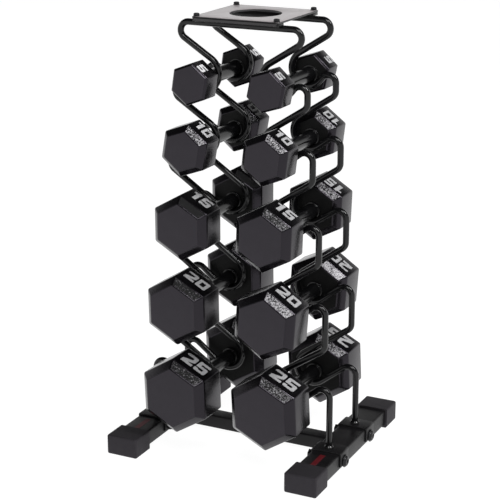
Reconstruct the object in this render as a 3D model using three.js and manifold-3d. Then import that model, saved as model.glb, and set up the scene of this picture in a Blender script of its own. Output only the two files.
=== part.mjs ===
// Loaded dumbbell rack: a stand of four bent rods on two floor rails that carries five pairs of
// hexagonal dumbbells, the lightest at the top. Millimetres, +Z up, +X to the right of a person who
// faces the rack, -Y towards that person. The origin is on the floor under the middle of the stand.

import * as THREE from 'three';
import { mergeVertices } from 'three/addons/utils/BufferGeometryUtils.js';
import Module from 'manifold-3d';

const wasm = await Module();
wasm.setup();

// ---------------------------------------------------------------- driving dimensions

const GAP = 0.3;                       // clearance between pieces that touch

const ROD_R = 5.5;                     // bent rods
const ROD_SIDES = 8;
const ROD_PLANE_Y = 58.2;              // the two rods in front stand at -Y, the two behind at +Y
const TOP_RUN_Z = 750;
const TOP_BEND_X = 110;
const BEND_R = 14.6;
const CRADLE_R = 30;
const ARC_STEP = THREE.MathUtils.degToRad(26);

const GRIP_R = 13;                     // dumbbell handles
const COLLAR_R = 15.5;
const SPIGOT_R = 9;
const SOCKET_DEPTH = 16;
const ROUND_SEGMENTS = 16;
const HEX_SIDES = 6;

// From the top down. x and z place the right dumbbell's axis. lipX, lipZ and lipR are the cradle lip's
// outermost reach, crest and bend radius, all on the rod's centre line, and cornerZ is where the bend
// below the lip starts. The rolls are how far each dumbbell has turned in its cradle, in degrees.
const TIERS = [
  { pounds: 5, x: 69.3, z: 655.1, lipX: 121.5, lipZ: 658.1, lipR: 13.6, cornerZ: 632.2,
    across: 63.5, faceAcross: 56.5, chamfer: 3.5, outer: 109, inner: 65.6, rolls: { left: 9, right: 12 } },
  { pounds: 10, x: 73.5, z: 546.4, lipX: 132.2, lipZ: 549.6, lipR: BEND_R, cornerZ: 507.6,
    across: 80, faceAcross: 60.6, chamfer: 10, outer: 128.3, inner: 67, rolls: { left: 10, right: 7 } },
  { pounds: 15, x: 76.5, z: 415.3, lipX: 145.1, lipZ: 424, lipR: BEND_R, cornerZ: 368.9,
    across: 100, faceAcross: 76.5, chamfer: 12, outer: 140, inner: 68, rolls: { left: 0, right: 2 } },
  { pounds: 20, x: 83.6, z: 270.4, lipX: 158.7, lipZ: 287.4, lipR: BEND_R, cornerZ: 220.9,
    across: 108.5, faceAcross: 84.6, chamfer: 13, outer: 149, inner: 68.5, rolls: { left: -1, right: 4 } },
  { pounds: 25, x: 84.9, z: 116.4, lipX: 169.3, lipZ: 139.9, lipR: BEND_R, cornerZ: null,
    across: 119, faceAcross: 93, chamfer: 14, outer: 157.4, inner: 72, rolls: { left: -2, right: -3 } },
];

const PLATE = { side: 158, thickness: 3, cornerR: 4, holeR: 43.2, flangeDrop: 3.6, flangeWall: 2 };
const PLATE_BOLT = { inset: 6.5, shaftR: 3, holeR: 3.3, neckH: 1.2, headR: 5, headH: 3.6, edge: 1.1,
  washerR: 5.6, washerH: 0.8, endDrop: 1 };
const BAR = { reach: 13, height: 5, rise: 4, inset: 0.5 };

const RAIL = { x: 171, width: 50, bottom: 4.6, top: 33.3, wall: 2, halfLength: 179.5 };
const CAP = { width: 59.2, height: 36.3, mouth: 135.6, end: 183 };
const CROSS_TUBE = { depth: 30, bottom: 5.5, top: 30, wall: 2 };
const SADDLE = { length: 34, plate: 2.5, skirtBottom: 10 };
const RAIL_BOLT = { z: 16.6, shaftR: 4, holeR: 4.4, headR: 11, rimH: 2.4, domeR: 7.7, domeH: 5.2, headH: 6,
  nutR: 9, nutH: 11, endReach: 2 };
const FOOT_COLLAR = { outerR: 8.4, topR: 7, height: 3.4 };

const BAR_TOP = TOP_RUN_Z + ROD_R + BAR.rise - GAP;
const BAR_BOTTOM = BAR_TOP - BAR.height;
const PLATE_BOTTOM = BAR_TOP + GAP;
const PLATE_TOP = PLATE_BOTTOM + PLATE.thickness;
const PLATE_BOLT_XY = PLATE.side / 2 - PLATE_BOLT.inset;
const SADDLE_TOP = RAIL.top + GAP + SADDLE.plate;
const SADDLE_HALF_WIDTH = RAIL.width / 2 + GAP + SADDLE.plate;

// ---------------------------------------------------------------- solids

// A geometry with only its positions, and with its shared vertices merged.
function bare(geometry) {
  const copy = geometry.index ? geometry.clone() : mergeVertices(geometry.clone());
  copy.deleteAttribute('normal');
  copy.deleteAttribute('uv');
  return mergeVertices(copy, 1e-4);
}

function solid(geometry) {
  const merged = bare(geometry);
  return new wasm.Manifold(new wasm.Mesh({
    numProp: 3,
    vertProperties: Float32Array.from(merged.attributes.position.array),
    triVerts: Uint32Array.from(merged.index.array),
  }));
}

function geometryOf(manifold) {
  const mesh = manifold.getMesh();
  const geometry = new THREE.BufferGeometry();
  geometry.setAttribute('position', new THREE.BufferAttribute(mesh.vertProperties, 3));
  geometry.setIndex(new THREE.BufferAttribute(mesh.triVerts, 1));
  return geometry;
}

// The first geometry with the others cut out of it.
function cut(geometry, ...tools) {
  return geometryOf(tools.reduce((body, tool) => body.subtract(solid(tool)), solid(geometry)));
}

function join(...geometries) {
  return geometryOf(geometries.map(solid).reduce((body, piece) => body.add(piece)));
}

// A box given by its two corners.
function box(x0, x1, y0, y1, z0, z1) {
  return new THREE.BoxGeometry(x1 - x0, y1 - y0, z1 - z0)
    .translate((x0 + x1) / 2, (y0 + y1) / 2, (z0 + z1) / 2);
}

// A solid of revolution about Y, from [radius, height] pairs.
function turned(profile, segments) {
  return new THREE.LatheGeometry(profile.map(([r, y]) => new THREE.Vector2(r, y)), segments);
}

function cylinderX(radius, x0, x1, segments) {
  return new THREE.CylinderGeometry(radius, radius, x1 - x0, segments)
    .rotateZ(-Math.PI / 2).translate((x0 + x1) / 2, 0, 0);
}

function cylinderZ(radius, z0, z1, segments) {
  return new THREE.CylinderGeometry(radius, radius, z1 - z0, segments)
    .rotateX(Math.PI / 2).translate(0, 0, (z0 + z1) / 2);
}

const SIDES = { left: -1, right: 1 };
const DEPTHS = { front: -1, rear: 1 };

// Calls make(side, depth, name) for each of the four corners of the stand.
function eachCorner(make) {
  for (const [depthName, depth] of Object.entries(DEPTHS)) {
    for (const [sideName, side] of Object.entries(SIDES)) make(side, depth, `${depthName}_${sideName}`);
  }
}

// ---------------------------------------------------------------- bent rods

// A path through stations that each hold a point and a tangent. The stations stand close together
// round a bend, and a straight run has one at each end.
class StationPath extends THREE.Curve {
  constructor(stations) {
    super();
    this.stations = stations;
  }

  station(u) {
    return this.stations[Math.round(u * (this.stations.length - 1))];
  }

  getPoint(t) {
    return this.station(t).point.clone();
  }

  getPointAt(u) {
    return this.station(u).point.clone();
  }

  getTangentAt(u) {
    return this.station(u).tangent.clone();
  }
}

// The bends of the right-hand rod from the plate down, in its own plane. turn is 1 where the rod
// turns to its left as it runs down from the plate, and -1 where it turns to its right.
function rodBends() {
  const bends = [{ x: TOP_BEND_X - BEND_R, z: TOP_RUN_Z - BEND_R, r: BEND_R, turn: -1 }];
  for (const tier of TIERS) {
    const cradleDrop = CRADLE_R - ROD_R - GRIP_R - GAP;
    bends.push({ x: tier.x, z: tier.z + cradleDrop, r: CRADLE_R, turn: 1 });
    bends.push({ x: tier.lipX - tier.lipR, z: tier.lipZ - tier.lipR, r: tier.lipR, turn: -1 });
    if (tier.cornerZ) bends.push({ x: tier.lipX - BEND_R, z: tier.cornerZ, r: BEND_R, turn: -1 });
  }
  return bends;
}

// The heading of the straight run that leaves one bend and meets the next without a kink.
function headingBetween(from, to) {
  const distance = Math.hypot(to.x - from.x, to.z - from.z);
  const offset = to.turn * to.r - from.turn * from.r;
  return Math.atan2(to.z - from.z, to.x - from.x) - Math.asin(offset / distance);
}

function pointOnBend(bend, heading) {
  return {
    x: bend.x + bend.turn * bend.r * Math.sin(heading),
    z: bend.z - bend.turn * bend.r * Math.cos(heading),
    heading,
  };
}

function rodStations(side, depth) {
  const bends = rodBends();
  const down = -Math.PI / 2;
  const path = [{ x: GAP / 2, z: TOP_RUN_Z, heading: 0 }];
  let heading = 0;
  bends.forEach((bend, i) => {
    let leaving = i + 1 < bends.length ? headingBetween(bend, bends[i + 1]) : down;
    while ((leaving - heading) * bend.turn < 0) leaving += bend.turn * 2 * Math.PI;
    const steps = Math.ceil(Math.abs(leaving - heading) / ARC_STEP);
    for (let k = 0; k <= steps; k++) {
      path.push(pointOnBend(bend, heading + ((leaving - heading) * k) / steps));
    }
    heading = Math.atan2(Math.sin(leaving), Math.cos(leaving));
  });
  path.push({ x: TIERS.at(-1).lipX, z: SADDLE_TOP + GAP, heading: down });
  return path.map(({ x, z, heading: h }) => ({
    point: new THREE.Vector3(side * x, depth * ROD_PLANE_Y, z),
    tangent: new THREE.Vector3(side * Math.cos(h), 0, Math.sin(h)),
  }));
}

function polygon(radius, sides) {
  const step = (2 * Math.PI) / sides;
  const points = Array.from({ length: sides }, (_, k) => {
    const angle = (k + 0.5) * step;
    return new THREE.Vector2(radius * Math.cos(angle), radius * Math.sin(angle));
  });
  return new THREE.Shape(points);
}

// The flat bar welded along the rod's top run, whose tapped hole takes the plate's bolt.
function plateBar(side, depth) {
  const near = ROD_PLANE_Y;
  const far = ROD_PLANE_Y + ROD_R + BAR.reach;
  const end = PLATE.side / 2 - BAR.inset;
  const [x0, x1] = side < 0 ? [-end, -GAP / 2] : [GAP / 2, end];
  const [y0, y1] = depth < 0 ? [-far, -near] : [near, far];
  const hole = cylinderZ(PLATE_BOLT.holeR, BAR_BOTTOM - 1, BAR_TOP + 1, ROUND_SEGMENTS)
    .translate(side * PLATE_BOLT_XY, depth * PLATE_BOLT_XY, 0);
  return cut(box(x0, x1, y0, y1, BAR_BOTTOM, BAR_TOP), hole);
}

// The cone of weld round a rod's foot.
function footCollar(side, depth) {
  const base = SADDLE_TOP + GAP;
  const { outerR, topR, height } = FOOT_COLLAR;
  return turned([[0, base], [outerR, base], [topR, base + height], [0, base + height]], ROUND_SEGMENTS)
    .rotateX(Math.PI / 2).translate(side * TIERS.at(-1).lipX, depth * ROD_PLANE_Y, 0);
}

function rodGeometry(side, depth) {
  const stations = rodStations(side, depth);
  const rod = new THREE.ExtrudeGeometry(polygon(ROD_R, ROD_SIDES), {
    steps: stations.length - 1,
    extrudePath: new StationPath(stations),
    bevelEnabled: false,
  });
  return join(rod, plateBar(side, depth), footCollar(side, depth));
}

// ---------------------------------------------------------------- top plate and its fasteners

// A flat sheet with a round hole, and with its front and rear edges folded down over the bars.
function topPlate() {
  const half = PLATE.side / 2;
  const inner = half - PLATE.cornerR;
  const outline = new THREE.Shape();
  [[inner, -inner, -90], [inner, inner, 0], [-inner, inner, 90], [-inner, -inner, 180]]
    .forEach(([x, y, degrees]) => {
      const start = THREE.MathUtils.degToRad(degrees);
      outline.absarc(x, y, PLATE.cornerR, start, start + Math.PI / 2, false);
    });
  outline.holes.push(new THREE.Path().absarc(0, 0, PLATE.holeR, 0, 2 * Math.PI, true));
  eachCorner((side, depth) => outline.holes.push(new THREE.Path()
    .absarc(side * PLATE_BOLT_XY, depth * PLATE_BOLT_XY, PLATE_BOLT.holeR, 0, 2 * Math.PI, true)));
  const sheet = new THREE.ExtrudeGeometry(outline, {
    depth: PLATE.thickness,
    bevelEnabled: false,
    curveSegments: 6,
  }).translate(0, 0, PLATE_BOTTOM);
  const flangeBottom = PLATE_BOTTOM - PLATE.flangeDrop;
  const flange = box(-inner, inner, half - PLATE.flangeWall, half, flangeBottom, PLATE_TOP);
  return join(sheet, flange, flange.clone().rotateZ(Math.PI));
}

function plateBolt(side, depth) {
  const { shaftR, neckH, headR, headH, edge, washerR, washerH, endDrop } = PLATE_BOLT;
  const end = BAR_BOTTOM - endDrop;
  const seat = PLATE_TOP + GAP;
  const head = seat + neckH;
  return turned([
    [0, end], [shaftR, end], [shaftR, seat], [washerR, seat], [washerR, seat + washerH],
    [shaftR, seat + washerH], [shaftR, head], [headR, head], [headR, head + headH - edge],
    [headR - edge, head + headH], [0, head + headH],
  ], ROUND_SEGMENTS).rotateX(Math.PI / 2).translate(side * PLATE_BOLT_XY, depth * PLATE_BOLT_XY, 0);
}

// ---------------------------------------------------------------- base

function railGeometry(side) {
  const half = RAIL.width / 2;
  const { halfLength, bottom, top, wall } = RAIL;
  const holes = Object.values(DEPTHS)
    .map((depth) => cylinderX(RAIL_BOLT.holeR, -half - 1, half + 1, ROUND_SEGMENTS)
      .translate(0, depth * ROD_PLANE_Y, RAIL_BOLT.z));
  return cut(
    box(-half, half, -halfLength, halfLength, bottom, top),
    box(-half + wall, half - wall, -halfLength - 1, halfLength + 1, bottom + wall, top - wall),
    ...holes,
  ).translate(side * RAIL.x, 0, 0);
}

function capGeometry(side, depth) {
  const half = CAP.width / 2;
  const pocketHalf = RAIL.width / 2 + GAP;
  const geometry = cut(
    box(-half, half, CAP.mouth, CAP.end, 0, CAP.height),
    box(-pocketHalf, pocketHalf, CAP.mouth - 1, RAIL.halfLength + GAP, RAIL.bottom - GAP, RAIL.top + GAP),
  );
  if (depth < 0) geometry.rotateZ(Math.PI);
  return geometry.translate(side * RAIL.x, 0, 0);
}

function crossTube() {
  const halfX = RAIL.x - RAIL.width / 2 - GAP;
  const halfY = CROSS_TUBE.depth / 2;
  const { bottom, top, wall } = CROSS_TUBE;
  return cut(
    box(-halfX, halfX, -halfY, halfY, bottom, top),
    box(-halfX - 1, halfX + 1, -halfY + wall, halfY - wall, bottom + wall, top - wall),
  );
}

// The bracket over the rail that a rod stands on.
function saddleGeometry(side, depth) {
  const halfY = SADDLE.length / 2;
  const slot = RAIL.width / 2 + GAP;
  const hole = cylinderX(RAIL_BOLT.holeR, -SADDLE_HALF_WIDTH - 1, SADDLE_HALF_WIDTH + 1, ROUND_SEGMENTS)
    .translate(0, 0, RAIL_BOLT.z);
  return cut(
    box(-SADDLE_HALF_WIDTH, SADDLE_HALF_WIDTH, -halfY, halfY, SADDLE.skirtBottom, SADDLE_TOP),
    box(-slot, slot, -halfY - 1, halfY + 1, SADDLE.skirtBottom - 1, RAIL.top + GAP),
    hole,
  ).translate(side * RAIL.x, depth * ROD_PLANE_Y, 0);
}

// Lies along X through the saddle and the rail, with its domed head on the rack's outer side.
function railBolt(side, depth) {
  const { shaftR, headR, rimH, domeR, domeH, headH, nutH, endReach } = RAIL_BOLT;
  const seat = SADDLE_HALF_WIDTH + GAP;
  const end = -seat - nutH - endReach;
  return turned([
    [0, end], [shaftR, end], [shaftR, seat], [headR, seat], [headR, seat + rimH],
    [domeR, seat + domeH], [0, seat + headH],
  ], ROUND_SEGMENTS).rotateZ(-side * Math.PI / 2)
    .translate(side * RAIL.x, depth * ROD_PLANE_Y, RAIL_BOLT.z);
}

function railNut(side, depth) {
  const { nutR, nutH, holeR, z } = RAIL_BOLT;
  const seat = SADDLE_HALF_WIDTH + GAP;
  const hole = cylinderX(holeR, seat - 1, seat + nutH + 1, ROUND_SEGMENTS);
  const nut = cut(cylinderX(nutR, seat, seat + nutH, HEX_SIDES), hole);
  if (side > 0) nut.rotateZ(Math.PI);
  return nut.translate(side * RAIL.x, depth * ROD_PLANE_Y, z);
}

// ---------------------------------------------------------------- dumbbells

// The rear head, round the dumbbell's own axis, with a corner of its hexagon straight up.
function headGeometry(tier) {
  const cornerR = tier.across / Math.sqrt(3);
  const faceR = tier.faceAcross / Math.sqrt(3);
  const { inner, outer, chamfer } = tier;
  const hexagon = turned([
    [0, inner], [faceR, inner], [cornerR, inner + chamfer], [cornerR, outer - chamfer], [faceR, outer],
    [0, outer],
  ], HEX_SIDES);
  const depth = SOCKET_DEPTH + 1;
  const socket = new THREE.CylinderGeometry(SPIGOT_R + GAP, SPIGOT_R + GAP, depth, ROUND_SEGMENTS)
    .translate(0, inner + SOCKET_DEPTH - depth / 2, 0);
  return cut(hexagon, socket);
}

function handleGeometry(tier) {
  const tip = tier.inner + SOCKET_DEPTH - GAP;
  const shoulder = tier.inner - GAP;
  const collarEnd = ROD_PLANE_Y + ROD_R + GAP;
  const half = [[0, tip], [SPIGOT_R, tip], [SPIGOT_R, shoulder], [COLLAR_R, shoulder], [COLLAR_R, collarEnd],
    [GRIP_R, collarEnd]];
  const mirrored = half.map(([r, y]) => [r, -y]);
  return turned([...mirrored, ...half.reverse()], ROUND_SEGMENTS);
}

// ---------------------------------------------------------------- assembly

const LOOKS = {
  rod: { color: 0x141417, roughness: 0.25, metalness: 0.3 },
  rail: { color: 0x1a1a1d, roughness: 0.4, metalness: 0.3 },
  plate: { color: 0x5a5759, roughness: 0.35, metalness: 0.5 },
  cap: { color: 0x1f1f22, roughness: 0.8, metalness: 0 },
  fastener: { color: 0x101012, roughness: 0.35, metalness: 0.7 },
  head: { color: 0x38363a, roughness: 0.75, metalness: 0 },
  handle: { color: 0x0c0c0e, roughness: 0.2, metalness: 0.6 },
};

function mesh(name, geometry, look) {
  const item = new THREE.Mesh(bare(geometry), new THREE.MeshStandardMaterial(LOOKS[look]));
  item.name = name;
  return item;
}

function dumbbell(tier, sideName) {
  const name = `${sideName}_${tier.pounds}`;
  const rear = mesh(`${name}_rear_head`, headGeometry(tier), 'head');
  const front = mesh(`${name}_front_head`, headGeometry(tier), 'head');
  front.rotation.z = Math.PI;
  const whole = new THREE.Group();
  whole.add(front, mesh(`${name}_handle`, handleGeometry(tier), 'handle'), rear);
  whole.position.set(SIDES[sideName] * tier.x, 0, tier.z);
  whole.rotation.y = THREE.MathUtils.degToRad(tier.rolls[sideName]);
  return whole;
}

const rack = new THREE.Group();
eachCorner((side, depth, corner) => {
  rack.add(mesh(`${corner}_rod`, rodGeometry(side, depth), 'rod'));
  rack.add(mesh(`${corner}_saddle`, saddleGeometry(side, depth), 'rail'));
  rack.add(mesh(`${corner}_rail_bolt`, railBolt(side, depth), 'fastener'));
  rack.add(mesh(`${corner}_rail_nut`, railNut(side, depth), 'fastener'));
  rack.add(mesh(`${corner}_end_cap`, capGeometry(side, depth), 'cap'));
  rack.add(mesh(`${corner}_plate_bolt`, plateBolt(side, depth), 'fastener'));
});
rack.add(mesh('left_rail', railGeometry(SIDES.left), 'rail'));
rack.add(mesh('right_rail', railGeometry(SIDES.right), 'rail'));
rack.add(mesh('cross_tube', crossTube(), 'rail'));
rack.add(mesh('top_plate', topPlate(), 'plate'));
for (const tier of TIERS) rack.add(dumbbell(tier, 'left'), dumbbell(tier, 'right'));

export default rack;
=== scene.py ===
import math

import bmesh
import bpy
from mathutils import Matrix, Vector, noise


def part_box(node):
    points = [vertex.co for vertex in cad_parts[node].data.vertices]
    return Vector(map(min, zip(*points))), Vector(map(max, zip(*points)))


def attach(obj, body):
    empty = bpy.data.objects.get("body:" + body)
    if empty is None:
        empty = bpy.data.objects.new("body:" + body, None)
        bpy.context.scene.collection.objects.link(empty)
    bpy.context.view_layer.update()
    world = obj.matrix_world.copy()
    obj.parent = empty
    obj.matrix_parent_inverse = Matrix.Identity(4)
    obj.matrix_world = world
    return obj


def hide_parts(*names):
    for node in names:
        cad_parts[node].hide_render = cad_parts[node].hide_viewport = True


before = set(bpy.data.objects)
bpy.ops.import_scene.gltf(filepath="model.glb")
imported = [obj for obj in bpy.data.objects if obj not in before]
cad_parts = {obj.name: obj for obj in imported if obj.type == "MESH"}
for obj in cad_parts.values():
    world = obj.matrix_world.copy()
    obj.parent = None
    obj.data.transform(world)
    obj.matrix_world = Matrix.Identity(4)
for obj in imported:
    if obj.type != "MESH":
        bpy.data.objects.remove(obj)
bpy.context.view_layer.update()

# A rack of bent rods on two floor rails, loaded with five pairs of hexagonal dumbbells. Metres, +Z up,
# -Y towards the front. SIDES and DEPTHS give the signs of X and Y in the node names.
SIDES = {"left": -1, "right": 1}
DEPTHS = {"front": -1, "rear": 1}
CORNERS = [(f"{d}_{s}", SIDES[s], DEPTHS[d]) for d in DEPTHS for s in SIDES]
MM = 0.001
TINY = 0.1 * MM                # the radius left open on the axis of a turned shape


# ---------------------------------------------------------------- material helpers

class Shader:
    """A Principled material under construction, whose textures are in the object's own metres."""

    def __init__(self, name, **inputs):
        self.material = bpy.data.materials.new(name)
        self.material.use_nodes = True
        self.tree = self.material.node_tree
        self.principled = self.tree.nodes["Principled BSDF"]
        self.coords = self.tree.nodes.new("ShaderNodeTexCoord")
        for socket, value in inputs.items():
            self.principled.inputs[socket.replace("_", " ")].default_value = value

    def node(self, kind, links=(), **values):
        made = self.tree.nodes.new(kind)
        for key, value in values.items():
            if hasattr(made, key):
                setattr(made, key, value)
            else:
                made.inputs[key.replace("_", " ")].default_value = value
        for socket, source in dict(links).items():
            self.tree.links.new(source, made.inputs[socket])
        return made

    def noise(self, scale, detail=3.0, roughness=0.5, distortion=0.0, stretch=None):
        vector = self.coords.outputs["Object"]
        if stretch:
            mapping = self.node("ShaderNodeMapping", {"Vector": vector})
            mapping.inputs["Scale"].default_value = stretch
            vector = mapping.outputs["Vector"]
        made = self.node("ShaderNodeTexNoise", {"Vector": vector}, Scale=scale, Detail=detail,
                         Roughness=roughness, Distortion=distortion)
        return made.outputs["Fac"]

    def cells(self, scale, feature="F1", randomness=1.0):
        made = self.node("ShaderNodeTexVoronoi", {"Vector": self.coords.outputs["Object"]},
                         feature=feature, Scale=scale, Randomness=randomness)
        return made.outputs["Distance"]

    def ramp(self, factor, stops):
        made = self.node("ShaderNodeValToRGB", {"Fac": factor})
        elements = made.color_ramp.elements
        while len(elements) < len(stops):
            elements.new(0.5)
        for element, (position, value) in zip(elements, stops):
            element.position = position
            element.color = (value, value, value, 1) if isinstance(value, float) else (*value, 1)
        return made.outputs["Color"]

    def blend(self, factor, low, high):
        made = self.node("ShaderNodeMapRange", {"Value": factor})
        made.inputs["To Min"].default_value = low
        made.inputs["To Max"].default_value = high
        return made.outputs["Result"]

    def drive(self, socket, source):
        self.tree.links.new(source, self.principled.inputs[socket])
        return self

    def bump(self, *layers):
        """Adds bumps, each (height, strength, distance in metres), one on top of the other."""
        normal = None
        for height, strength, distance in layers:
            made = self.node("ShaderNodeBump", {"Height": height}, Strength=strength, Distance=distance)
            if normal:
                self.tree.links.new(normal, made.inputs["Normal"])
            normal = made.outputs["Normal"]
        return self.drive("Normal", normal)


def powder_coat(name, base, rough, grain, grain_depth, specular=0.5):
    """A coat over steel: a fine orange peel, dust in patches and a few rubbed places."""
    s = Shader(name, Metallic=0.0, Specular_IOR_Level=specular)
    patches = s.noise(38, detail=5)
    rubs = s.noise(240, detail=2, stretch=(1, 1, 0.25))
    tint = s.ramp(patches, [(0.3, base), (0.75, tuple(c * 1.5 + 0.002 for c in base))])
    s.drive("Base Color", tint)
    s.drive("Roughness", s.blend(patches, rough[0], rough[1]))
    s.bump((s.noise(grain, detail=2), 0.5, grain_depth), (rubs, 0.12, 0.00004))
    return s.material


def rubber(name, base, rough, pebble, pebble_depth, specular=0.47, tint=(0.93, 0.85, 1.0)):
    """Moulded rubber with a fine pebbled skin and faint scuffs."""
    s = Shader(name, Metallic=0.0, Specular_IOR_Level=specular, Specular_Tint=(*tint, 1))
    scuffs = s.noise(26, detail=6, roughness=0.6)
    s.drive("Base Color", s.ramp(scuffs, [(0.32, tuple(c * 0.82 for c in base)), (0.7, base),
                                          (0.85, tuple(c * 1.18 for c in base))]))
    s.drive("Roughness", s.blend(s.noise(90, detail=4), rough[0], rough[1]))
    s.bump((s.cells(pebble), 0.55, pebble_depth), (s.noise(2600, detail=1), 0.25, 0.00004))
    return s.material


def silver_pebble(name, bare, shine, start, end):
    """The hammered silver strip on a head's chamfer. bare is how much of the paint is gone, shine is how
    light the paint that is left looks, and from x = start towards x = end more of the strip is painted
    light, a painted highlight at its right end."""
    s = Shader(name, Metallic=0.0, Specular_IOR_Level=0.14)
    grains = s.noise(430, detail=3, roughness=0.62, distortion=0.6)
    patches = s.noise(60, detail=2)
    mixed = s.node("ShaderNodeMix", {"A": grains, "B": patches}, Factor=0.15).outputs["Result"]
    axes = s.node("ShaderNodeSeparateXYZ", {"Vector": s.coords.outputs["Object"]})
    # Painted highlight: from x = start to x = end the strip shows more light paint, standing in for the
    # glint at its right end.
    end_highlight = s.node("ShaderNodeMapRange", {"Value": axes.outputs["X"]})
    for socket, value in (("From Min", start), ("From Max", end), ("To Min", 0.0), ("To Max", 0.05)):
        end_highlight.inputs[socket].default_value = value
    level = s.node("ShaderNodeMath", {0: mixed, 1: end_highlight.outputs["Result"]}, operation="ADD").outputs["Value"]
    grey = (shine * 0.6, shine * 0.58, shine * 0.62)
    light = (shine, shine * 0.99, shine * 1.02)
    s.drive("Base Color", s.ramp(level, [(bare - 0.02, (0.003, 0.003, 0.0035)), (bare + 0.03, grey),
                                         (bare + 0.1, light)]))
    s.drive("Roughness", s.blend(grains, 0.55, 0.3))
    s.bump((grains, 0.8, 0.0006))
    return s.material


def paint_white(name, low, high):
    """The moulded numbers' off-white paint, thin in places."""
    s = Shader(name, Metallic=0.0, Specular_IOR_Level=0.4)
    wear = s.noise(520, detail=5, roughness=0.65)
    s.drive("Base Color", s.ramp(wear, [(0.3, (low, low, low * 1.03)), (0.5, (high, high, high * 1.02))]))
    s.drive("Roughness", s.blend(wear, 0.55, 0.38))
    s.bump((wear, 0.3, 0.00012))
    return s.material


def satin_plate(name):
    s = Shader(name, Metallic=0.0, Specular_IOR_Level=0.7)
    clouds = s.noise(14, detail=5)
    s.drive("Base Color", s.ramp(clouds, [(0.3, (0.34, 0.315, 0.32)), (0.75, (0.41, 0.385, 0.39))]))
    s.drive("Roughness", s.blend(s.noise(160, detail=5), 0.26, 0.4))
    s.bump((s.noise(1500, detail=2), 0.3, 0.00005))
    return s.material


def bolt_finish(name):
    s = Shader(name, Metallic=0.75, Specular_IOR_Level=0.5)
    tint = s.ramp(s.noise(300, detail=4), [(0.3, (0.01, 0.01, 0.011)), (0.8, (0.035, 0.035, 0.037))])
    s.drive("Base Color", tint)
    s.drive("Roughness", s.blend(s.noise(700, detail=3), 0.24, 0.42))
    s.bump((s.noise(1900, detail=2), 0.25, 0.00004))
    return s.material


MAT = {
    "rod": powder_coat("black_rod_coat", (0.002, 0.002, 0.0023), (0.1, 0.16), 520, 0.00003, 0.34),
    "grip": powder_coat("black_grip_coat", (0.002, 0.002, 0.0023), (0.1, 0.16), 700, 0.00003, 0.34),
    "rail": powder_coat("textured_rail_coat", (0.005, 0.0047, 0.0052), (0.33, 0.46), 1300, 0.00018, 0.2),
    "plate": satin_plate("light_plate_paint"),
    "plate_edge": powder_coat("plate_edge_coat", (0.014, 0.013, 0.014), (0.3, 0.4), 700, 0.00006),
    "cap": rubber("cap_rubber", (0.012, 0.0115, 0.012), (0.62, 0.78), 900, 0.00012),
    "face": rubber("head_face_rubber", (0.008, 0.0075, 0.0085), (0.5, 0.62), 1500, 0.00005),
    "side": rubber("head_side_rubber", (0.003, 0.0028, 0.0033), (0.15, 0.24), 480, 0.00016, 0.34),
    "inner": rubber("head_inner_rubber", (0.004, 0.004, 0.004), (0.5, 0.62), 1100, 0.00006, 0.16,
                    (1, 1, 1)),
    # The left and right numbers share one white paint. The left copy is made lighter than the right to make
    # up for light the left numbers lack, which is painted light.
    "left_number": paint_white("left_number_lit_copy_paint", 0.38, 0.66),
    "right_number": paint_white("right_number_shaded_copy_paint", 0.2, 0.42),
    "worn_number": paint_white("worn_number_paint", 0.01, 0.05),
    "bolt": bolt_finish("black_bolt"),
    "mark": rubber("red_mark", (0.09, 0.002, 0.004), (0.45, 0.6), 900, 0.00005),
}


# ---------------------------------------------------------------- mesh helpers

def new_piece(name, bm, materials, body, replaces=(), sharp=math.radians(40)):
    """Turns bm into an object that rides on a body and stands for some CAD nodes."""
    bmesh.ops.recalc_face_normals(bm, faces=bm.faces[:])
    mesh = bpy.data.meshes.new(name)
    bm.to_mesh(mesh)
    bm.free()
    for material in materials:
        mesh.materials.append(material)
    mesh.shade_smooth()
    mesh.set_sharp_from_angle(angle=sharp)
    piece = bpy.data.objects.new(name, mesh)
    bpy.context.scene.collection.objects.link(piece)
    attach(piece, body)
    if replaces:
        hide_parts(*replaces)
    return piece


def round_edges(bm, width, segments=3, edges=None, angle=math.radians(20)):
    """Rounds the given edges, or every edge whose faces meet at more than the angle."""
    chosen = edges or [e for e in bm.edges if len(e.link_faces) == 2 and e.calc_face_angle() > angle]
    bmesh.ops.bevel(bm, geom=chosen, offset=width, segments=segments, profile=0.5, affect="EDGES",
                    clamp_overlap=True)


def add_box(bm, low, high):
    made = bmesh.ops.create_cube(bm, size=1)["verts"]
    size = Vector(high) - Vector(low)
    for v in made:
        v.co = Vector(low) + Vector([(v.co[k] + 0.5) * size[k] for k in range(3)])


def add_rings(bm, rings, closed_ends=True):
    """Joins rings of equal length with quads and returns the rings' vertices."""
    made = [[bm.verts.new(p) for p in ring] for ring in rings]
    count = len(made[0])
    for a, b in zip(made, made[1:]):
        for i in range(count):
            bm.faces.new((a[i], a[(i + 1) % count], b[(i + 1) % count], b[i]))
    if closed_ends:
        bm.faces.new(list(reversed(made[0])))
        bm.faces.new(made[-1])
    return made


def revolve(bm, profile, place, sides=48):
    """A closed solid of revolution about Z from (radius, height) pairs, moved by a matrix."""
    def ring(radius, height):
        return [place @ Vector((radius * math.cos(2 * math.pi * i / sides),
                                radius * math.sin(2 * math.pi * i / sides), height)) for i in range(sides)]
    return add_rings(bm, [ring(r, h) for r, h in profile])


def rounded(profile, radius, steps=4):
    """The profile with each of its inner corners rounded."""
    out = [profile[0]]
    for before, at, after in zip(profile, profile[1:], profile[2:]):
        p, a, b = Vector(at), Vector(before), Vector(after)
        cut = min(radius, (a - p).length * 0.45, (b - p).length * 0.45)
        start, end = p + (a - p).normalized() * cut, p + (b - p).normalized() * cut
        for k in range(steps + 1):
            t = k / steps
            out.append(tuple(start * (1 - t) ** 2 + p * 2 * t * (1 - t) + end * t * t))
    out.append(profile[-1])
    return out


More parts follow.
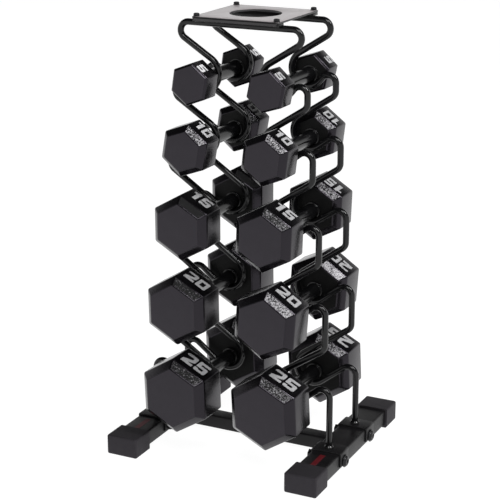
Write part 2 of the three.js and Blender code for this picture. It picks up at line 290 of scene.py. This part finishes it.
def placed(x=0.0, y=0.0, z=0.0, toward="+Z"):
    """A matrix that takes a shape made along Z to a point, pointing along an axis."""
    turns = {"+Z": Matrix.Identity(4), "-Z": Matrix.Rotation(math.pi, 4, "X"),
             "+Y": Matrix.Rotation(-math.pi / 2, 4, "X"), "-Y": Matrix.Rotation(math.pi / 2, 4, "X"),
             "+X": Matrix.Rotation(math.pi / 2, 4, "Y"), "-X": Matrix.Rotation(-math.pi / 2, 4, "Y")}
    return Matrix.Translation((x, y, z)) @ turns[toward]


# ---------------------------------------------------------------- the dumbbells' and rods' layout

GRIP_R = 13 * MM
COLLAR_R = 15.5 * MM
ROD_R = 5.5 * MM
CRADLE_R = 30 * MM
BEND_R = 14.6 * MM
GAP = 0.3 * MM
TOP_BEND_X = 110 * MM
TOP_RUN_Z = 750 * MM

# x and z place a dumbbell's axis. lip_x, lip_z and lip_r are the cradle lip's outermost reach, crest and
# bend radius on the rod's centre line, and corner_z is where the bend below the lip starts. across and face
# are a head's widths over the flats of its sides and of its end face, and inner and outer are the Y of its
# ends. roll is the turn of the left and the right dumbbell in degrees. glyph is the number's box on its
# facet: its left and right along the reading direction, then the Y of its top and of its foot.
TIERS = [
    dict(pounds=5, x=69.3, z=655.1, lip_x=121.5, lip_z=658.1, lip_r=13.6, corner_z=632.2, across=63.5,
         face=56.5, chamfer=3.5, outer=109, inner=65.6, roll=(9, 12), glyph=(-9.5, 5, 84.5, 105)),
    dict(pounds=10, x=73.5, z=546.4, lip_x=132.2, lip_z=549.6, lip_r=14.6, corner_z=507.6, across=80,
         face=60.6, chamfer=10, outer=128.3, inner=67, roll=(10, 7), glyph=(-17, 13.3, 82, 105)),
    dict(pounds=15, x=76.5, z=415.3, lip_x=145.1, lip_z=424, lip_r=14.6, corner_z=368.9, across=100,
         face=76.5, chamfer=12, outer=140, inner=68, roll=(0, 2), glyph=(-19.3, 17.6, 84, 111)),
    dict(pounds=20, x=83.6, z=270.4, lip_x=158.7, lip_z=287.4, lip_r=14.6, corner_z=220.9, across=108.5,
         face=84.6, chamfer=13, outer=149, inner=68.5, roll=(-1, 4), glyph=(-23.2, 21.4, 94, 120.5)),
    dict(pounds=25, x=84.9, z=116.4, lip_x=169.3, lip_z=139.9, lip_r=14.6, corner_z=None, across=119,
         face=93, chamfer=14, outer=157.4, inner=72, roll=(-2, -3), glyph=(-25.5, 24, 98.5, 131.5)),
]
for tier in TIERS:
    for key in ("x", "z", "lip_x", "lip_z", "lip_r", "across", "face", "chamfer", "outer", "inner"):
        tier[key] *= MM
    tier["corner_z"] = tier["corner_z"] and tier["corner_z"] * MM
    tier["glyph"] = [v * MM for v in tier["glyph"]]

BAR_REACH, BAR_HEIGHT, BAR_INSET = 13 * MM, 5 * MM, 0.5 * MM
PLATE_THICKNESS = 3 * MM
FLANGE_WALL = 2 * MM

SADDLE_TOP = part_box("front_right_saddle")[1].z
ROD_Y = (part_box("rear_right_saddle")[0].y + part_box("rear_right_saddle")[1].y) / 2


# ---------------------------------------------------------------- bent rods

def rod_bends():
    bends = [(TOP_BEND_X - BEND_R, TOP_RUN_Z - BEND_R, BEND_R, -1)]
    for t in TIERS:
        bends.append((t["x"], t["z"] + CRADLE_R - ROD_R - GRIP_R - GAP, CRADLE_R, 1))
        bends.append((t["lip_x"] - t["lip_r"], t["lip_z"] - t["lip_r"], t["lip_r"], -1))
        if t["corner_z"]:
            bends.append((t["lip_x"] - BEND_R, t["corner_z"], BEND_R, -1))
    return bends


def heading_between(a, b):
    distance = math.hypot(b[0] - a[0], b[1] - a[1])
    return math.atan2(b[1] - a[1], b[0] - a[0]) - math.asin((b[3] * b[2] - a[3] * a[2]) / distance)


def rod_path(step=math.radians(7)):
    """(x, z, heading) along the right-hand rod's centre line, from under the plate to its foot."""
    bends, heading, path = rod_bends(), 0.0, [(0.0, TOP_RUN_Z, 0.0)]
    for i, bend in enumerate(bends):
        x, z, r, turn = bend
        leaving = heading_between(bend, bends[i + 1]) if i + 1 < len(bends) else -math.pi / 2
        while (leaving - heading) * turn < 0:
            leaving += turn * 2 * math.pi
        count = math.ceil(abs(leaving - heading) / step)
        for k in range(count + 1):
            h = heading + (leaving - heading) * k / count
            path.append((x + turn * r * math.sin(h), z - turn * r * math.cos(h), h))
        heading = math.atan2(math.sin(leaving), math.cos(leaving))
    path.append((TIERS[-1]["lip_x"], SADDLE_TOP + GAP, -math.pi / 2))
    return path


def add_rod_frame(depth_name, depth):
    """The bent rod that runs from one foot, under the plate, to the other foot."""
    right = rod_path()
    left = [(-x, z, math.pi - h) for x, z, h in reversed(right)][:-1]
    left = [(x, z, h + math.pi) for x, z, h in left]
    sides, bm = 28, bmesh.new()
    rings = []
    for x, z, h in left + right:
        across = Vector((-math.sin(h), 0, math.cos(h)))
        turns = [2 * math.pi * i / sides for i in range(sides)]
        rings.append([Vector((x, depth * ROD_Y, z)) + ROD_R * (
            across * math.cos(a) + Vector((0, 1, 0)) * math.sin(a)) for a in turns])
    add_rings(bm, rings)
    for side in SIDES.values():
        foot = placed(side * TIERS[-1]["lip_x"], depth * ROD_Y, SADDLE_TOP)
        weld = rounded([(TINY, 0.1 * MM), (8.4 * MM, 0.1 * MM), (8.3 * MM, 1.6 * MM), (6.8 * MM, 3.2 * MM),
                        (5.6 * MM, 4.6 * MM), (TINY, 4.6 * MM)], 0.8 * MM)
        revolve(bm, weld, foot, sides=32)
    return new_piece(f"{depth_name}_rod_frame", bm, [MAT["rod"]], "rack",
                     [f"{depth_name}_left_rod", f"{depth_name}_right_rod"],
                     sharp=math.radians(50))


def add_plate_bar(depth_name, depth):
    """The flat bar welded along a rod frame's top run, which the plate rests on."""
    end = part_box("top_plate")[1].x - BAR_INSET
    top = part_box(f"{depth_name}_right_rod")[1].z
    y0, y1 = sorted((depth * ROD_Y, depth * (ROD_Y + ROD_R + BAR_REACH)))
    bm = bmesh.new()
    add_box(bm, (-end, y0, top - BAR_HEIGHT), (end, y1, top))
    round_edges(bm, 0.9 * MM)
    return new_piece(f"{depth_name}_plate_bar", bm, [MAT["rod"]], "rack")


# ---------------------------------------------------------------- top plate

def add_top_plate():
    flange_low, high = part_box("top_plate")
    corner, hole, sides = 4 * MM, 43.2 * MM, 96
    half = high.x
    bottom = high.z - PLATE_THICKNESS
    outline = []
    for k, (sx, sy) in enumerate([(1, -1), (1, 1), (-1, 1), (-1, -1)]):
        for i in range(9):
            a = -math.pi / 2 + k * math.pi / 2 + i / 8 * math.pi / 2
            outline.append((sx * (half - corner) + corner * math.cos(a),
                            sy * (half - corner) + corner * math.sin(a)))
    bm = bmesh.new()
    edge = 0.8 * MM

    def loop(points, z):
        return [bm.verts.new((x, y, z)) for x, y in points]

    def inset(points, amount):
        return [(x * (half - amount) / half, y * (half - amount) / half) for x, y in points]

    def circle(r):
        return [(r * math.cos(2 * math.pi * i / sides), r * math.sin(2 * math.pi * i / sides))
                for i in range(sides)]

    outer = [loop(inset(outline, edge), high.z), loop(inset(outline, edge * 0.3), high.z - edge * 0.3),
             loop(outline, high.z - edge), loop(outline, bottom + edge * 0.5),
             loop(inset(outline, edge * 0.5), bottom)]
    inner = [loop(circle(hole + edge), high.z), loop(circle(hole + edge * 0.3), high.z - edge * 0.3),
             loop(circle(hole), high.z - edge), loop(circle(hole), bottom + edge * 0.5),
             loop(circle(hole + edge * 0.5), bottom)]
    for loops in (outer, inner):
        for a, b in zip(loops, loops[1:]):
            for i in range(len(a)):
                f = bm.faces.new((a[i], a[(i + 1) % len(a)], b[(i + 1) % len(a)], b[i]))
                f.material_index = 1
    for rims in ((outer[0], inner[0]), (outer[-1], inner[-1])):
        edges = [bm.edges.get((r[i], r[(i + 1) % len(r)])) for r in rims for i in range(len(r))]
        bmesh.ops.triangle_fill(bm, edges=edges, use_beauty=True)
    for f in bm.faces:
        if abs(f.normal.z) > 0.99 and f.calc_center_median().z > high.z - 0.1 * MM:
            f.material_index = 0
    for side in DEPTHS.values():
        y0, y1 = sorted((side * (half - FLANGE_WALL), side * half))
        flange = bmesh.new()
        add_box(flange, (corner - half, y0, flange_low.z), (half - corner, y1, high.z - edge))
        round_edges(flange, 0.5 * MM, segments=2)
        for f in flange.faces:
            f.material_index = 1
        joined = bpy.data.meshes.new("flange")
        flange.to_mesh(joined)
        flange.free()
        bm.from_mesh(joined)
    return new_piece("top_plate_shelf", bm, [MAT["plate"], MAT["plate_edge"]], "rack", ["top_plate"])


def hexagon_prism(bm, radius, low, high, place):
    ring = [(radius * math.cos(math.pi / 3 * i), radius * math.sin(math.pi / 3 * i)) for i in range(6)]
    return add_rings(bm, [[place @ Vector((x, y, z)) for x, y in ring] for z in (low, high)])


def add_plate_bolt(corner):
    """A flat washer and a low round head with a round socket, over a plain shaft."""
    low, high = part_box(f"{corner}_plate_bolt")
    x, y, seat = (low.x + high.x) / 2, (low.y + high.y) / 2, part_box("top_plate")[1].z
    height, end = high.z - seat, low.z - seat
    shaft, washer, head = 3 * MM, 5.5 * MM, 5 * MM
    bm = bmesh.new()
    revolve(bm, rounded([(TINY, end), (shaft - 0.4 * MM, end), (shaft, end + 0.6 * MM), (shaft, 0.2 * MM),
                         (washer, 0.3 * MM), (washer, 1.1 * MM), (shaft, 1.1 * MM),
                         (shaft, height - 3.6 * MM),
                         (head, height - 3.6 * MM), (head, height - 1.1 * MM), (head - 1.1 * MM, height),
                         (2.4 * MM, height), (2.1 * MM, height - 1.8 * MM), (TINY, height - 1.8 * MM)],
                        0.35 * MM), placed(x, y, seat), sides=40)
    return new_piece(f"{corner}_plate_screw", bm, [MAT["bolt"]], "rack", [f"{corner}_plate_bolt"])


# ---------------------------------------------------------------- base

def add_tube(name, node, axis, wall, edge, material):
    """A rectangular tube along an axis, with rounded edges and open ends, in place of a CAD node."""
    low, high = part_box(node)
    u, v = [i for i in range(3) if i != axis]
    bm = bmesh.new()

    def ring(inset, corner, along):
        points = []
        c = [(low[u] + high[u]) / 2, (low[v] + high[v]) / 2]
        h = [(high[u] - low[u]) / 2 - inset, (high[v] - low[v]) / 2 - inset]
        for k, (su, sv) in enumerate([(1, 1), (-1, 1), (-1, -1), (1, -1)]):
            for i in range(6):
                a = k * math.pi / 2 + i / 5 * math.pi / 2
                p = [0, 0, 0]
                p[axis] = along
                p[u] = c[0] + su * (h[0] - corner) + corner * math.cos(a)
                p[v] = c[1] + sv * (h[1] - corner) + corner * math.sin(a)
                points.append(Vector(p))
        return points

    a, b, soft = low[axis], high[axis], 0.4 * MM
    rings = [ring(wall, edge * 0.5, a + soft), ring(wall - soft, edge * 0.6, a), ring(soft, edge * 0.9, a),
             ring(0, edge, a + soft), ring(0, edge, b - soft), ring(soft, edge * 0.9, b),
             ring(wall - soft, edge * 0.6, b), ring(wall, edge * 0.5, b - soft)]
    made = add_rings(bm, rings, closed_ends=False)
    first, last = made[0], made[-1]
    for i in range(len(first)):
        j = (i + 1) % len(first)
        bm.faces.new((last[i], last[j], first[j], first[i]))
    return new_piece(name, bm, [material], "rack", [node], sharp=math.radians(35))


def add_end_cap(corner, depth):
    """A moulded rubber cap with soft edges, open at one end for the rail."""
    low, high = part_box(f"{corner}_end_cap")
    mouth, end = (high.y, low.y) if depth < 0 else (low.y, high.y)
    rail_low, rail_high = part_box("left_rail" if "left" in corner else "right_rail")
    bm = bmesh.new()
    add_box(bm, low, high)

    def open_face():
        at_mouth = [f for f in bm.faces if abs(f.calc_center_median().y - mouth) < 1e-6]
        return max(at_mouth, key=lambda f: f.calc_area())

    back = open_face()
    round_edges(bm, 3.6 * MM, segments=5, edges=[e for e in bm.edges if e not in back.edges])
    back = open_face()
    bmesh.ops.inset_region(bm, faces=[back], thickness=2.2 * MM)
    for v in back.verts:
        v.co.x = min(max(v.co.x, rail_low.x - GAP), rail_high.x + GAP)
        v.co.z = min(max(v.co.z, rail_low.z - GAP), rail_high.z + GAP)
    pocket = bmesh.ops.extrude_face_region(bm, geom=[back])["geom"]
    for v in [g for g in pocket if isinstance(g, bmesh.types.BMVert)]:
        v.co.y += (end - mouth) * 0.9
    bmesh.ops.delete(bm, geom=[back], context="FACES_ONLY")
    return new_piece(f"{corner}_rubber_cap", bm, [MAT["cap"]], "rack", [f"{corner}_end_cap"],
                     sharp=math.radians(50))


def add_saddle(corner):
    """The folded bracket over the rail that carries a rod, its folds rounded."""
    low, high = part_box(f"{corner}_saddle")
    rail_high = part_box("left_rail" if "left" in corner else "right_rail")[1]
    inner_x, inner_z = rail_high.x + GAP, rail_high.z + GAP
    centre = (low.x + high.x) / 2
    half, inner = high.x - centre, inner_x - centre
    bend, fold = 3.2 * MM, 0.8 * MM
    outside, inside = [(-half, low.z)], [(-inner, low.z)]
    for k in range(7):
        a = math.pi - k / 6 * math.pi / 2
        outside.append((-half + bend + bend * math.cos(a), high.z - bend + bend * math.sin(a)))
        inside.append((-inner + fold + fold * math.cos(a), inner_z - fold + fold * math.sin(a)))
    outside += [(-x, z) for x, z in reversed(outside)]
    inside += [(-x, z) for x, z in reversed(inside)]
    section = [(centre + x, z) for x, z in outside + list(reversed(inside))]
    bm = bmesh.new()
    made = add_rings(bm, [[Vector((x, y, z)) for x, z in section] for y in (low.y, high.y)])
    rims = [bm.edges.get((ring[i], ring[(i + 1) % len(ring)])) for ring in made for i in range(len(ring))]
    round_edges(bm, 0.5 * MM, segments=2, edges=rims)
    return new_piece(f"{corner}_bracket", bm, [MAT["rail"]], "rack", [f"{corner}_saddle"],
                     sharp=math.radians(50))


def add_rail_fasteners(corner, side):
    """The cross bolt's domed head with its washer on the outer side, and its nut on the inner side."""
    saddle_low, saddle_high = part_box(f"{corner}_saddle")
    bolt_low, bolt_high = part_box(f"{corner}_rail_bolt")
    y, z = (bolt_low.y + bolt_high.y) / 2, (bolt_low.z + bolt_high.z) / 2
    outer = saddle_high.x if side > 0 else saddle_low.x
    inner = saddle_low.x if side > 0 else saddle_high.x
    out_axis, in_axis = ("+X", "-X") if side > 0 else ("-X", "+X")
    head_r, head_h, nut_r, nut_h, shaft = 11 * MM, 6 * MM, 9 * MM, 11 * MM, 4 * MM
    bm = bmesh.new()
    revolve(bm, rounded([(TINY, 0.3 * MM), (head_r, 0.3 * MM), (head_r, 2.3 * MM),
                         (head_r - 1.6 * MM, 2.9 * MM),
                         (head_r - 2.2 * MM, head_h - 1.6 * MM), (head_r - 4.4 * MM, head_h - 0.2 * MM),
                         (3.6 * MM, head_h), (3.2 * MM, head_h - 2.2 * MM),
                         (TINY, head_h - 2.2 * MM)], 0.6 * MM),
            placed(outer, y, z, out_axis), sides=40)
    new_piece(f"{corner}_cross_bolt", bm, [MAT["bolt"]], "rack", [f"{corner}_rail_bolt"])
    bm = bmesh.new()
    hexagon_prism(bm, nut_r - 0.1 * MM, 1.6 * MM, nut_h, placed(inner, y, z, in_axis))
    round_edges(bm, 0.8 * MM, segments=2)
    revolve(bm, rounded([(TINY, 0.3 * MM), (nut_r - 0.1 * MM, 0.3 * MM), (nut_r - 0.1 * MM, 1.7 * MM),
                         (TINY, 1.7 * MM)], 0.3 * MM), placed(inner, y, z, in_axis), sides=36)
    revolve(bm, rounded([(TINY, nut_h - 1 * MM), (shaft, nut_h - 1 * MM), (shaft, nut_h + 1.2 * MM),
                         (shaft - 0.7 * MM, nut_h + 2 * MM), (TINY, nut_h + 2 * MM)], 0.3 * MM),
            placed(inner, y, z, in_axis), sides=24)
    new_piece(f"{corner}_cross_nut", bm, [MAT["bolt"]], "rack", [f"{corner}_rail_nut"])


def add_rail_mark(side_name):
    """A plain red stripe on the rail's top, just behind its front cap."""
    low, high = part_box(f"{side_name}_rail")
    cap_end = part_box(f"front_{side_name}_end_cap")[1].y
    saddle_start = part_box(f"front_{side_name}_saddle")[0].y
    centre = (low.x + high.x) / 2
    bm = bmesh.new()
    add_box(bm, (centre - 5 * MM, cap_end + 2 * MM, high.z - 0.1 * MM),
            (centre + 5 * MM, saddle_start - 12 * MM, high.z + 0.2 * MM))
    round_edges(bm, 0.1 * MM, segments=1)
    return new_piece(f"{side_name}_rail_stripe", bm, [MAT["mark"]], "rack")


# ---------------------------------------------------------------- dumbbells

# Each digit is drawn on a grid 5 wide and 6 high as polygons that share their corners.
DIGITS = {
    "0": [[(0.4, 0), (4.6, 0), (5, 0.4), (3.6, 1.45), (1.4, 1.45)],
          [(5, 0.4), (5, 5.6), (3.6, 4.55), (3.6, 1.45)],
          [(5, 5.6), (4.6, 6), (0.4, 6), (1.4, 4.55), (3.6, 4.55)],
          [(0.4, 6), (0, 5.6), (0, 0.4), (0.4, 0), (1.4, 1.45), (1.4, 4.55)]],
    "1": [[(1.2, 0), (3.4, 0), (3.4, 6), (2.0, 6), (1.2, 5.2), (1.2, 4.3)],
          [(1.2, 5.2), (-0.6, 5.2), (-0.6, 4.3), (1.2, 4.3)]],
    "2": [[(0, 0), (5, 0), (5, 1.25), (2.3, 1.25), (0, 1.25)],
          [(0, 1.25), (2.3, 1.25), (5, 2.7), (5, 4.5), (3.5, 4.5), (3.5, 3.5), (0, 1.9)],
          [(5, 4.5), (5, 5.5), (4.5, 6), (0.5, 6), (0, 5.5), (0, 4.8), (3.5, 4.8), (3.5, 4.5)]],
    "5": [[(0, 1.7), (0, 0.4), (0.4, 0), (4.5, 0), (5, 0.5), (5, 1.25), (3.5, 1.25), (1.5, 1.25),
           (1.5, 1.7)],
          [(5, 1.25), (5, 3.2), (4.5, 3.7), (1.5, 3.7), (0, 3.7), (0, 2.5), (3.5, 2.5), (3.5, 1.25)],
          [(0, 3.7), (1.5, 3.7), (1.5, 4.8), (5, 4.8), (5, 6), (0.4, 6), (0, 5.6)]],
}


def head_points():
    """The hexagon's corners, a corner straight up, as (x, z) for a circumradius of 1."""
    angles = [math.pi / 2 - k * math.pi / 3 for k in range(6)]
    return [(math.cos(a), math.sin(a)) for a in angles]


def pose_matrix(tier, side_name):
    side = SIDES[side_name]
    roll = math.radians(tier["roll"][0 if side < 0 else 1])
    return Matrix.Translation((side * tier["x"], 0, tier["z"])) @ Matrix.Rotation(roll, 4, "Y")


def add_head(tier, side_name, end_name):
    """A rubber-coated hexagonal head: soft corners and a chamfer round each face."""
    name = f"{side_name}_{tier['pounds']}_{end_name}_head"
    depth = DEPTHS[end_name]
    place = pose_matrix(tier, side_name)
    corner_r, face_r = tier["across"] / math.sqrt(3), tier["face"] / math.sqrt(3)
    stations = [(tier["inner"], face_r), (tier["inner"] + tier["chamfer"], corner_r),
                (tier["outer"] - tier["chamfer"], corner_r), (tier["outer"], face_r)]
    bm = bmesh.new()
    rings = [[Vector((r * x, depth * y, r * z)) for x, z in head_points()] for y, r in stations]
    add_rings(bm, rings)
    bm.normal_update()
    soft = 1.1 * MM if tier["pounds"] == 5 else 1.9 * MM
    round_edges(bm, soft, segments=4)
    bm.normal_update()
    for f in bm.faces:
        flat = abs(f.normal.y) > 0.97
        reach = abs(f.calc_center_median().y)
        outer = flat and abs(reach - tier["outer"]) < 0.6 * MM
        inner = flat and abs(reach - tier["inner"]) < 0.6 * MM
        f.material_index = 0 if outer else 2 if inner else 1
    bm.transform(place)
    return new_piece(f"{name}_shell", bm, [MAT["face"], MAT["side"], MAT["inner"]],
                     f"{side_name}_{tier['pounds']}", [name],
                     sharp=math.radians(60))


def facet_frame(tier, end_name):
    """The numbered facet's reading direction, its outward direction and its middle."""
    depth = DEPTHS[end_name]
    outward = Vector((math.cos(math.pi / 3), 0, math.sin(math.pi / 3)))
    up = Vector((0, -depth, 0))
    reading = up.cross(outward)
    return reading, outward, outward * tier["across"] / 2


def add_number(tier, side_name, end_name):
    """The weight in raised block digits on the facet that faces up and to the right."""
    depth = DEPTHS[end_name]
    reading, outward, middle = facet_frame(tier, end_name)
    text = str(tier["pounds"])
    u0, u1, y_in, y_out = tier["glyph"]
    height = y_out - y_in
    span = u1 - u0
    if text[0] == "1":
        widths = [span * 0.2, span * 0.52]
        grids = [(1.2, 3.4), (0, 5)]
        starts = [u0 + span * 0.12, u1 - widths[1]]
    else:
        digit = span * (0.46 if len(text) == 2 else 1)
        widths, grids = [digit] * len(text), [(0, 5)] * len(text)
        starts = [u0, u1 - digit][:len(text)]
    bm = bmesh.new()
    for char, start, width, (g0, g1) in zip(text, starts, widths, grids):
        corners = {}
        for polygon in DIGITS[char]:
            loop = []
            for gx, gy in polygon:
                key = (round(gx, 3), round(gy, 3))
                if key not in corners:
                    u = start + (gx - g0) / (g1 - g0) * width
                    y = y_out - gy / 6 * height
                    p = middle + reading * u + outward * (0.05 * MM)
                    p.y = depth * y
                    corners[key] = bm.verts.new(p)
                loop.append(corners[key])
            bm.faces.new(loop)
    base = bm.faces[:]
    raised = bmesh.ops.extrude_face_region(bm, geom=base)["geom"]
    for v in [g for g in raised if isinstance(g, bmesh.types.BMVert)]:
        v.co += outward * (0.55 * MM)
    bm.normal_update()
    bm.transform(pose_matrix(tier, side_name))
    worn = (side_name, text, end_name) == ("left", "10", "rear")
    # The left and right copies of the number paint differ in lightness as painted light; the worn one is
    # real wear.
    paint = MAT["worn_number" if worn else f"{side_name}_number"]
    return new_piece(f"{side_name}_{tier['pounds']}_{end_name}_number", bm, [paint],
                     f"{side_name}_{tier['pounds']}", sharp=math.radians(30))


# How much of each strip's paint is gone and how light the rest is, where a strip differs from WORN_STRIP.
WORN_STRIP = (0.52, 0.3)
STRIPS = {
    ("left", 10, "front"): (0.52, 0.42),
    ("right", 10, "front"): (0.5, 0.42),
    ("left", 15, "front"): (0.68, 0.12),
    ("right", 15, "front"): (0.55, 0.26),
    ("left", 20, "front"): (0.6, 0.22),
    ("right", 20, "front"): (0.49, 0.44),
    ("left", 25, "front"): (0.58, 0.26),
    ("right", 25, "front"): (0.54, 0.28),
    ("left", 10, "rear"): (0.57, 0.2),
    ("left", 15, "rear"): (0.66, 0.12),
    ("right", 20, "rear"): (0.46, 0.6),
    ("right", 15, "rear"): (0.51, 0.38),
    ("right", 10, "rear"): (0.51, 0.38),
    ("right", 25, "rear"): (0.51, 0.42),
}


def upper_half(values):
    return (min(values) + max(values)) / 2, max(values)


def add_band(tier, side_name, end_name):
    """The hammered strip on the chamfer under the number that faces the front."""
    depth = DEPTHS[end_name]
    corner_r, face_r = tier["across"] / math.sqrt(3), tier["face"] / math.sqrt(3)
    at = tier["outer"] if depth < 0 else tier["inner"]
    chamfer = tier["chamfer"] if depth < 0 else -tier["chamfer"]
    low_y, high_y = depth * at, depth * (at - chamfer)
    top, right = head_points()[:2]
    quad = [(face_r, low_y, top), (face_r, low_y, right), (corner_r, high_y, right), (corner_r, high_y, top)]
    points = [Vector((r * x, y, r * z)) for r, y, (x, z) in quad]
    outward = (points[1] - points[0]).cross(points[3] - points[0]).normalized()
    if outward.z < 0:
        outward.negate()
    across, along = 22, 110
    bm = bmesh.new()

    def at_uv(s, t):
        s, t = 0.035 + 0.93 * s, 0.1 + 0.8 * t
        return (points[0] * (1 - s) + points[1] * s) * (1 - t) + (points[3] * (1 - s) + points[2] * s) * t

    def hammered(i, j):
        point = at_uv(i / along, j / across)
        if not (0 < i < along and 0 < j < across):
            return point - outward * 0.1 * MM
        height = 0.25 + 0.22 * noise.noise(point * 700) + 0.1 * noise.noise(point * 1900)
        return point + outward * MM * height

    grid = [[bm.verts.new(hammered(i, j)) for i in range(along + 1)] for j in range(across + 1)]
    for j in range(across):
        for i in range(along):
            bm.faces.new((grid[j][i], grid[j][i + 1], grid[j + 1][i + 1], grid[j + 1][i]))
    bm.transform(pose_matrix(tier, side_name))
    wear = STRIPS.get((side_name, tier["pounds"], end_name), WORN_STRIP)
    # The strip is painted lighter from its middle to its right end: a painted highlight.
    middle, highlight_end_x = upper_half([v.co.x for v in bm.verts])
    material = silver_pebble(f"strip_{side_name}_{tier['pounds']}_{end_name}", *wear, middle, highlight_end_x)
    return new_piece(f"{side_name}_{tier['pounds']}_{end_name}_strip", bm, [material],
                     f"{side_name}_{tier['pounds']}", sharp=math.radians(60))


def add_handle(tier, side_name):
    """The grip between the heads, with a raised collar at each end."""
    name = f"{side_name}_{tier['pounds']}"
    collar = ROD_Y + ROD_R + GAP
    inner = tier["inner"] + 0.5 * MM
    half = [(TINY, inner), (COLLAR_R, inner), (COLLAR_R, collar), (GRIP_R, collar)]
    profile = [(r, -h) for r, h in half] + [(r, h) for r, h in reversed(half)]
    bm = bmesh.new()
    revolve(bm, rounded(profile, 0.7 * MM), placed(0, 0, 0, "+Y"), sides=64)
    bm.transform(pose_matrix(tier, side_name))
    return new_piece(f"{name}_grip", bm, [MAT["grip"]], name, [f"{name}_handle"],
                     sharp=math.radians(50))


# ---------------------------------------------------------------- build

for depth_name, depth in DEPTHS.items():
    add_rod_frame(depth_name, depth)
    add_plate_bar(depth_name, depth)
add_top_plate()
for corner, side, depth in CORNERS:
    add_plate_bolt(corner)
    add_end_cap(corner, depth)
    add_saddle(corner)
    add_rail_fasteners(corner, side)
add_tube("left_rail_tube", "left_rail", 1, 2 * MM, 3.2 * MM, MAT["rail"])
add_tube("right_rail_tube", "right_rail", 1, 2 * MM, 3.2 * MM, MAT["rail"])
add_tube("cross_tube_bar", "cross_tube", 0, 2 * MM, 3.2 * MM, MAT["rail"])
for side_name in SIDES:
    add_rail_mark(side_name)
    for tier in TIERS:
        add_handle(tier, side_name)
        for end_name in DEPTHS:
            add_head(tier, side_name, end_name)
            add_number(tier, side_name, end_name)
            if tier["pounds"] > 5:
                add_band(tier, side_name, end_name)


# ---------------------------------------------------------------- floor, light, camera

floor_mesh = bpy.data.meshes.new("floor")
floor_mesh.from_pydata([(-8, -8, 0), (8, -8, 0), (8, 8, 0), (-8, 8, 0)], [], [(0, 1, 2, 3)])
floor = bpy.data.objects.new("floor", floor_mesh)
floor_look = Shader("floor_paint", Roughness=0.9, Specular_IOR_Level=0.1)
floor_look.principled.inputs["Base Color"].default_value = (0.15, 0.15, 0.15, 1)
floor_look.principled.inputs["Emission Color"].default_value = (1, 1, 1, 1)
floor_look.principled.inputs["Emission Strength"].default_value = 0.97
floor_mesh.materials.append(floor_look.material)
bpy.context.scene.collection.objects.link(floor)

world = bpy.data.worlds.new("studio")
bpy.context.scene.world = world
world.use_nodes = True
nodes, links = world.node_tree.nodes, world.node_tree.links
coords = nodes.new("ShaderNodeTexCoord")
split = nodes.new("ShaderNodeSeparateXYZ")
ramp = nodes.new("ShaderNodeValToRGB")
links.new(coords.outputs["Generated"], split.inputs["Vector"])
links.new(split.outputs["Z"], ramp.inputs["Fac"])
links.new(ramp.outputs["Color"], nodes["Background"].inputs["Color"])
nodes["Background"].inputs["Strength"].default_value = 1.0
sky = [(0.0, 1.0), (0.26, 0.95), (0.42, 0.08), (0.55, 0.015)]   # sine of the elevation, brightness
elements = ramp.color_ramp.elements
while len(elements) < len(sky):
    elements.new(0.5)
for element, (position, value) in zip(elements, sky):
    element.position = position
    element.color = (value, value, value, 1)


def softbox(name, location, target, size, power):
    light = bpy.data.lights.new(name, "AREA")
    light.shape = "RECTANGLE"
    light.size, light.size_y = size
    light.energy = power
    lamp = bpy.data.objects.new(name, light)
    lamp.location = location
    lamp.rotation_euler = (Vector(target) - Vector(location)).to_track_quat("-Z", "Y").to_euler()
    bpy.context.scene.collection.objects.link(lamp)


softbox("key_right", (2.0, -0.1, 2.8), (0, 0, 0.4), (0.6, 1.6), 75)
softbox("key_front", (0.9, -2.0, 2.9), (0, 0, 0.4), (1.2, 1.2), 40)

camera_data = bpy.data.cameras.new("camera")
camera_data.lens = 107.88
camera_data.sensor_width = 36
camera = bpy.data.objects.new("camera", camera_data)
camera.location = (1.0923, -2.2320, 1.1282)
camera.rotation_euler = (math.radians(72.64), 0, math.radians(26.3))
bpy.context.scene.collection.objects.link(camera)
bpy.context.scene.camera = camera
bpy.context.scene.view_settings.view_transform = "Standard"
